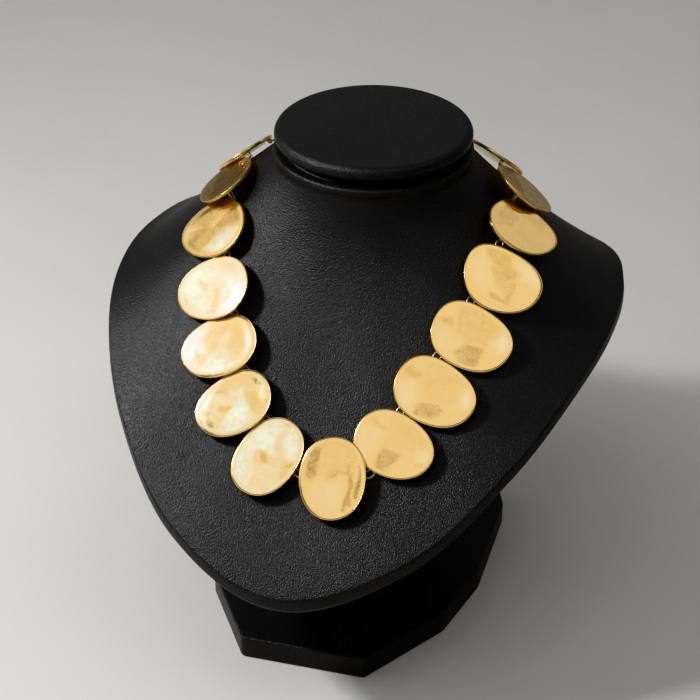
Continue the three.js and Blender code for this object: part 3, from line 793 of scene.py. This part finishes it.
def outline(row, phi, inset=0.0, share=1.0):
    """A disc's outline in its own axes, moved in by inset and then shrunk to share."""
    swell = share * (1 + row["square"] * np.sin(2 * phi) ** 2 + row["flat"] * np.sin(3 * phi))
    x = (row["long"] - inset) * np.cos(phi)
    y = (row["wide"] - inset) * (1 + row["egg"] * np.cos(phi)) * np.sin(phi)
    return x * swell, y * swell


def upright(row, x, y):
    """A face's own coordinates turned to right and up on it."""
    turn = math.radians(row["turn"])
    return x * math.cos(turn) - y * math.sin(turn), x * math.sin(turn) + y * math.cos(turn)


# Tone point by point, dark patina or pale that is partly a painted highlight, and the relief it
# gives.
def patina_highlight_and_relief(row, seed, x, y):
    phi = np.linspace(0, 2 * math.pi, OUTLINE_SAMPLES)
    half = [np.abs(side).max() for side in upright(row, *outline(row, phi))]
    right, up = upright(row, x, y)
    u, w = wander(right / half[0], up / half[1], seed)
    overall = OVERALL[row["name"]]
    patina_and_highlight = np.full(np.shape(x), overall)
    for strength, corners in PATCHES[row["name"]]:
        edge = PALE_EDGE if strength < overall else PATCH_EDGE
        patina_and_highlight = patina_and_highlight + (strength - patina_and_highlight) * inside(corners, edge, u, w)
    return patina_and_highlight, -PATCH_RELIEF * (patina_and_highlight - overall)


def plate(row, seed):
    """Points and faces of a plate in its own axes, and its tone point by point: patina, and pale
    that is partly a painted highlight.
    """
    phi = turns(PLATE_SIDES)
    rings, patina_and_highlight = [], []
    for share in BACK_RINGS:
        x, y = outline(row, phi, BACK_INSET, share)
        rings.append(np.stack([x, y, np.full(PLATE_SIDES, BACK_HEIGHT)], -1))
        patina_and_highlight.append(np.full(PLATE_SIDES, BACK_PATINA))
    for i, (inset, height) in enumerate(PLATE_SECTION):
        x, y = outline(row, phi, inset)
        rings.append(np.stack([x, y, np.full(PLATE_SIDES, height)], -1))
        tone = GROOVE_PATINA if i in GROOVE_ROWS else OVERALL[row["name"]] * RIM_SHARE
        patina_and_highlight.append(np.full(PLATE_SIDES, tone))
    buckle = BUCKLE[row["name"].split("_")[0]]
    for share in np.linspace(1, INNERMOST_RING, FACE_RINGS)[1:]:
        x, y = outline(row, phi, FACE_INSET, share)
        tone, dent = patina_highlight_and_relief(row, seed, x, y)
        fade = smooth(0, RELIEF_FADE, (1 - share) * row["wide"])
        relief = np.clip(buckle * facets(seed, x, y) + dent, *RELIEF_LIMITS) * fade
        height = FACE_HEIGHT + relief + FACE_CROWN * (1 - share**2)
        rings.append(np.stack([x, y, height], -1))
        patina_and_highlight.append(tone)
    points, faces = skin(rings)
    return points, faces, np.concatenate(patina_and_highlight + [[BACK_PATINA], [patina_and_highlight[-1].mean()]])


SOLDER_SIDES = 20
SOLDER_HEIGHT = -0.7
SOLDER_PROFILE = [(1.0, 0.0), (0.8, 0.12), (0.5, 0.3), (0.38, 0.5)]


def solder_foot(centre):
    """A small cone of solder under a loop's foot, on the back of the plate."""
    angles = turns(SOLDER_SIDES)
    rings = []
    for radius, drop in SOLDER_PROFILE:
        x, y = centre[0] + radius * np.cos(angles), centre[1] - radius * np.sin(angles)
        rings.append(np.stack([x, y, SOLDER_HEIGHT - drop + 0 * angles], -1))
    return skin(rings)


def store(piece, name, kind, field, values):
    """Keep values with the points of a piece, for its material."""
    attribute = piece.data.attributes.new(name, kind, "POINT")
    attribute.data.foreach_set(field, np.asarray(values, np.float32).ravel())


def disc(row, seat, loops, seed):
    """One disc with the two loops on its back, each given by its centre and its axis."""
    axes = np.eye(4)
    for i, key in enumerate(("along", "across", "out", "centre")):
        axes[:3, i] = seat[key]
    inverse = np.linalg.inv(axes)
    points, faces, patina_and_highlight = plate(row, seed)
    parts = [(points, faces)]
    for centre, axis in loops:
        local = inverse[:3, :3] @ centre + inverse[:3, 3]
        turned = inverse[:3, :3] @ axis
        stretch = -local[2] - LOOP["depth"]
        parts.append(wire_loop(local, turned, vec(0, 0, 1), stretch))
        parts.append(solder_foot(local))
    name = "disc_" + row["name"]
    points, faces = merge(parts)
    piece = add_piece(name + "_plate", (points, faces), DISC_GOLD, [name], axes)
    right, up = upright(row, points[:, 0], points[:, 1])
    face_at = np.stack([right, up, points[:, 2] + PATTERN_STEP * seed], -1)
    # The stored tone holds dark patina, and pale that is partly a painted highlight.
    store(piece, "patina_and_highlight", "FLOAT", "value", np.pad(patina_and_highlight, (0, len(points) - len(patina_and_highlight))))
    store(piece, "haze", "FLOAT", "value", np.full(len(points), HAZE.get(row["name"], 0.0)))
    store(piece, "face_at", "FLOAT_VECTOR", "vector", face_at)


RING_STEPS = 60
RING_SIDES = 14
RING_CUT = math.radians(3)


def jump_ring(number, link):
    """An oval ring of wire with a fine cut on its neckward side."""
    span = link["end"] - link["start"]
    radius = np.linalg.norm(span) / 2
    normal = unit(np.cross(span, link["neckward"]))
    ahead = unit(span)
    side = np.cross(normal, ahead)
    middle = (link["start"] + link["end"]) / 2
    width = RING["half_width"]
    shares = np.arange(RING_STEPS) / (RING_STEPS - 1)
    points, spokes = [], []
    for angle in math.pi / 2 + RING_CUT / 2 + shares * (2 * math.pi - RING_CUT):
        cos, sin = math.cos(angle), math.sin(angle)
        points.append(middle + radius * cos * ahead + width * sin * side)
        spokes.append(unit(width * cos * ahead + radius * sin * side))
    wire = tube(points, spokes, [normal] * RING_STEPS, RING["wire"], RING_SIDES, False)
    name = f"jump_ring_{number:02d}"
    add_piece(name + "_wire", wire, LINK_GOLD, [name])


# ---------------------------------------------------------------- chain and clasp


def nape_point(around, z, standoff):
    """A point at standoff from the cape, at the angle around the neck and the height z."""
    degrees = around - 360 if around > 180 else around
    return round_neck(degrees, cape_radius(degrees, z) + standoff, z)


CURVE_SAMPLES = 24


def catmull_rom(points):
    """Centripetal Catmull-Rom curve through points, its ends carried on straight."""
    points = [2 * points[0] - points[1], *points, 2 * points[-1] - points[-2]]
    curve = []
    for p0, p1, p2, p3 in zip(points, points[1:], points[2:], points[3:]):
        d0, d1, d2 = [math.sqrt(np.linalg.norm(b - a)) for a, b in ((p0, p1), (p1, p2), (p2, p3))]
        t1 = ((p1 - p0) / d0 - (p2 - p0) / (d0 + d1) + (p2 - p1) / d1) * d1
        t2 = ((p2 - p1) / d1 - (p3 - p1) / (d1 + d2) + (p3 - p2) / d2) * d1
        for t in np.arange(CURVE_SAMPLES) / CURVE_SAMPLES:
            cubic = (2 * p1 - 2 * p2 + t1 + t2) * t + (-3 * p1 + 3 * p2 - 2 * t1 - t2)
            curve.append((cubic * t + t1) * t + p1)
    return np.array(curve + [points[-2]])


LINK = {"pitch": 2.1, "wire": 0.26, "half_width": 0.62, "steps": 32, "sides": 10}


def chain_link(start, end, across):
    """An oval wire link whose inside reaches from start to end, wide along the direction across."""
    ahead = unit(end - start)
    across = unit(across - ahead * across.dot(ahead))
    flat = np.cross(ahead, across)
    width, wire, steps = LINK["half_width"], LINK["wire"], LINK["steps"]
    straight = np.linalg.norm(end - start) / 2 + wire - width
    middle = (start + end) / 2
    centres, spokes = [], []
    for angle in turns(steps) + math.pi / steps:
        spoke = math.cos(angle) * ahead + math.sin(angle) * across
        centres.append(middle + width * spoke + math.copysign(straight, math.cos(angle)) * ahead)
        spokes.append(spoke)
    return tube(centres, spokes, [flat] * steps, wire, LINK["sides"])


def chain(name, points, first_is_outward):
    """Links along a curve. Each end link goes round the wire that the curve starts or ends at."""
    curve = catmull_rom(points)
    lengths = np.concatenate([[0], np.cumsum(np.linalg.norm(np.diff(curve, axis=0), axis=1))])
    total = lengths[-1] + 2 * LOOP["wire"]
    count = 2 * round(total / LINK["pitch"] / 2)
    stations = np.linspace(-LOOP["wire"], lengths[-1] + LOOP["wire"], count + 1)
    start_way, end_way = unit(curve[1] - curve[0]), unit(curve[-1] - curve[-2])

    def at(s):
        if s < 0:
            return curve[0] + start_way * s
        if s > lengths[-1]:
            return curve[-1] + end_way * (s - lengths[-1])
        return np.array([np.interp(s, lengths, curve[:, i]) for i in range(3)])

    parts = []
    for i in range(count):
        start, end = at(stations[i]), at(stations[i + 1])
        outward = unit((start + end) / 2 * vec(1, 1, 0))
        is_outward = (i % 2 == 0) == first_is_outward
        across = outward if is_outward else np.cross(outward, end - start)
        parts.append(chain_link(start, end, across))
    add_piece(name + "_links", merge(parts), LINK_GOLD, [name])


# Half of the barrel's outline, from an end to the middle: radius, and distance from that end.
CLASP_PROFILE = [
    (0.5, 0), (0.85, 0.02), (1.15, 0.12), (1.2, 0.3), (1.3, 0.42), (1.65, 0.6), (1.88, 0.85),
    (2.0, 1.15), (2.0, 1.5), (1.86, 1.6), (1.86, 1.72), (2.0, 1.82), (2.0, 3.0), (1.98, 3.9),
    (1.9, 4.15), (1.84, 4.3), (1.84, 4.42), (1.7, 4.46),
]
CLASP_SIDES = 48


def clasp():
    """The barrel with an eye at each end. It returns where each eye's wire is."""
    centre = nape_point(CLASP["around"], CLASP["z"], CLASP["standoff"])
    along = unit(nape_point(CLASP["around"] + 1, CLASP["z"], CLASP["standoff"]) - centre)
    level = vec(0, 0, 1)
    outward = np.cross(along, level)
    half = CLASP["length"] / 2
    profile = [(radius, at - half) for radius, at in CLASP_PROFILE]
    profile += [(radius, -at) for radius, at in reversed(profile)]
    cos, sin = [wave(turns(CLASP_SIDES))[:, None] for wave in (np.cos, np.sin)]
    spokes = cos * outward + sin * np.cross(along, outward)
    parts = [skin([centre + along * at + radius * spokes for radius, at in profile])]
    wires = []
    for side in (-1, 1):
        away = along * side
        eye = centre + away * (half + LOOP["radius"] - LOOP["wire"])
        parts.append(wire_loop(eye, level, away))
        wires.append(eye + away * LOOP["radius"])
    add_piece("clasp_barrel", merge(parts), LINK_GOLD, ["clasp"])
    return wires


def collar():
    """Discs, rings, clasp and chain, in order from the left side of the nape to the right one."""
    seats = [axes_of(row) for row in DISCS]
    left = [nape_point(*row, CHAIN_STANDOFF) for row in CHAIN_LEFT]
    right = [nape_point(*row, CHAIN_STANDOFF) for row in CHAIN_RIGHT]
    links = [link_to_chain(seats[0], left[-1])]
    for i in range(len(seats) - 1):
        links.append(link_between(seats[i], seats[i + 1], DISCS[i]["ring"]))
    links.append(link_to_chain(seats[-1], right[0]))
    for i, row in enumerate(DISCS):
        before = links[0]["start"] if i == 0 else links[i]["end"]
        loops = [(before, links[i]["neckward"]), (links[i + 1]["start"], links[i + 1]["neckward"])]
        disc(row, seats[i], loops, FIRST_DISC_SEED + i)
    for i, link in enumerate(links):
        jump_ring(i + 1, link)
    before, after = clasp()
    chain("chain_right", [links[-1]["end"], *right, before], True)
    chain("chain_left", [after, *left, links[0]["end"]], False)


collar()

# ---------------------------------------------------------------- floor, light and camera


FLOOR_HALF = 6
FLOOR_ROUGHNESS = 0.85
FLOOR_DARK = (0.72, 0.71, 0.69, 1)
FLOOR_LIGHT = (0.76, 0.75, 0.73, 1)


def stage_floor():
    s = Shader("pale_floor")
    coords = s.add("TexCoord", output="Object")
    tone = s.noise(coords, 6, 3, 0.5)
    colour = s.mix(s.fit(tone, 0.3, 0.7), FLOOR_DARK, FLOOR_LIGHT)
    material = s.finish(Base_Color=colour, Roughness=FLOOR_ROUGHNESS)
    mesh = bpy.data.meshes.new("floor")
    half = FLOOR_HALF
    corners = [(-half, -half, 0), (half, -half, 0), (half, half, 0), (-half, half, 0)]
    mesh.from_pydata(corners, [], [(0, 1, 2, 3)])
    mesh.materials.append(material)
    floor = bpy.data.objects.new("floor", mesh)
    bpy.context.scene.collection.objects.link(floor)


# The lights shine at the point AIM, in metres. A row has the light's name, its direction from
# there, its distance, its width and height, its radiance, and the direction that its width runs
# along, which is level if there is none.
AIM = Vector((0, 0, 0.13))
LIGHTS = [
    ["key", (-0.66, -0.33, 0.67), 0.85, (0.1, 0.1), 162, None],
    ["left_box", (-0.73, -0.23, 0.64), 1.3, (0.55, 0.7), 1.7, (1, 0, 0)],
    ["front_box", (0.163, -0.36, 0.92), 1.5, (2.55, 1.0), 0.98, None],
    ["low_left_box", (-0.87, 0.08, 0.49), 1.5, (0.75, 0.75), 0.85, None],
    ["back_box", (0.56, 0.68, 0.5), 1.5, (0.8, 0.6), 0.56, None],
    ["high_back_box", (-0.23, 0.82, 0.53), 1.5, (0.7, 0.5), 0.5, None],
]

# The world is dim in front and brighter behind, with a glow straight in front that the discs
# reflect towards a view from above. The limits are Y components of the direction.
WORLD_COLOUR = (1.0, 0.99, 0.98, 1)
WORLD_FRONT, WORLD_BACK = -0.5, 0.8
WORLD_DIM, WORLD_BRIGHT = 0.05, 0.2
GLOW_FROM, GLOW_FULL = -0.5, -0.85
GLOW_STRENGTH = 0.26

# Lens and sensor in millimetres, the view's angles in degrees, the place and the clip in metres.
CAMERA = {
    "lens": 108, "sensor": 36, "azimuth": 15.5, "elevation": 32, "at": (0.2036, -0.7304, 0.5902),
    "clip": (0.05, 20),
}


def soft_box(name, way, distance, size, radiance, along):
    """A rectangular area light, given by a row of LIGHTS."""
    lamp = bpy.data.lights.new(name, "AREA")
    lamp.shape = "RECTANGLE"
    lamp.size, lamp.size_y = size
    lamp.energy = math.pi * size[0] * size[1] * radiance
    light = bpy.data.objects.new(name, lamp)
    bpy.context.scene.collection.objects.link(light)
    way = Vector(way).normalized()
    light.location = AIM + way * distance
    light.rotation_mode = "QUATERNION"
    if along is None:
        light.rotation_quaternion = way.to_track_quat("Z", "Y")
    else:
        across = way.cross(Vector(along)).normalized()
        turned = Matrix((across.cross(way), across, way)).transposed()
        light.rotation_quaternion = turned.to_quaternion()


def studio():
    world = bpy.data.worlds.new("studio")
    world.use_nodes = True
    nodes = Nodes(world.node_tree)
    direction = nodes.add("TexCoord", output="Generated")
    backward = nodes.add("SeparateXYZ", {"Vector": direction}, "Y")
    rise = nodes.fit(backward, WORLD_FRONT, WORLD_BACK, WORLD_DIM, WORLD_BRIGHT, "SMOOTHSTEP")
    glow = nodes.fit(backward, GLOW_FROM, GLOW_FULL, 0.0, GLOW_STRENGTH, "SMOOTHSTEP")
    background = world.node_tree.nodes["Background"]
    background.inputs["Color"].default_value = WORLD_COLOUR
    nodes.tree.links.new(nodes.calc("ADD", rise, glow), background.inputs["Strength"])
    bpy.context.scene.world = world
    bpy.context.scene.view_settings.view_transform = "Khronos PBR Neutral"
    for row in LIGHTS:
        soft_box(*row)


def camera():
    data = bpy.data.cameras.new("camera")
    data.lens = CAMERA["lens"]
    data.sensor_width = CAMERA["sensor"]
    data.clip_start, data.clip_end = CAMERA["clip"]
    cam = bpy.data.objects.new("camera", data)
    bpy.context.scene.collection.objects.link(cam)
    azimuth, elevation = [math.radians(CAMERA[key]) for key in ("azimuth", "elevation")]
    level = math.cos(elevation)
    right = vec(math.cos(azimuth), math.sin(azimuth), 0)
    back = vec(math.sin(azimuth) * level, -math.cos(azimuth) * level, math.sin(elevation))
    up = np.cross(back, right)
    rows = [[right[i], up[i], back[i], at] for i, at in enumerate(CAMERA["at"])]
    cam.matrix_world = Matrix([*rows, [0, 0, 0, 1]])
    bpy.context.scene.camera = cam


stage_floor()
studio()
camera()
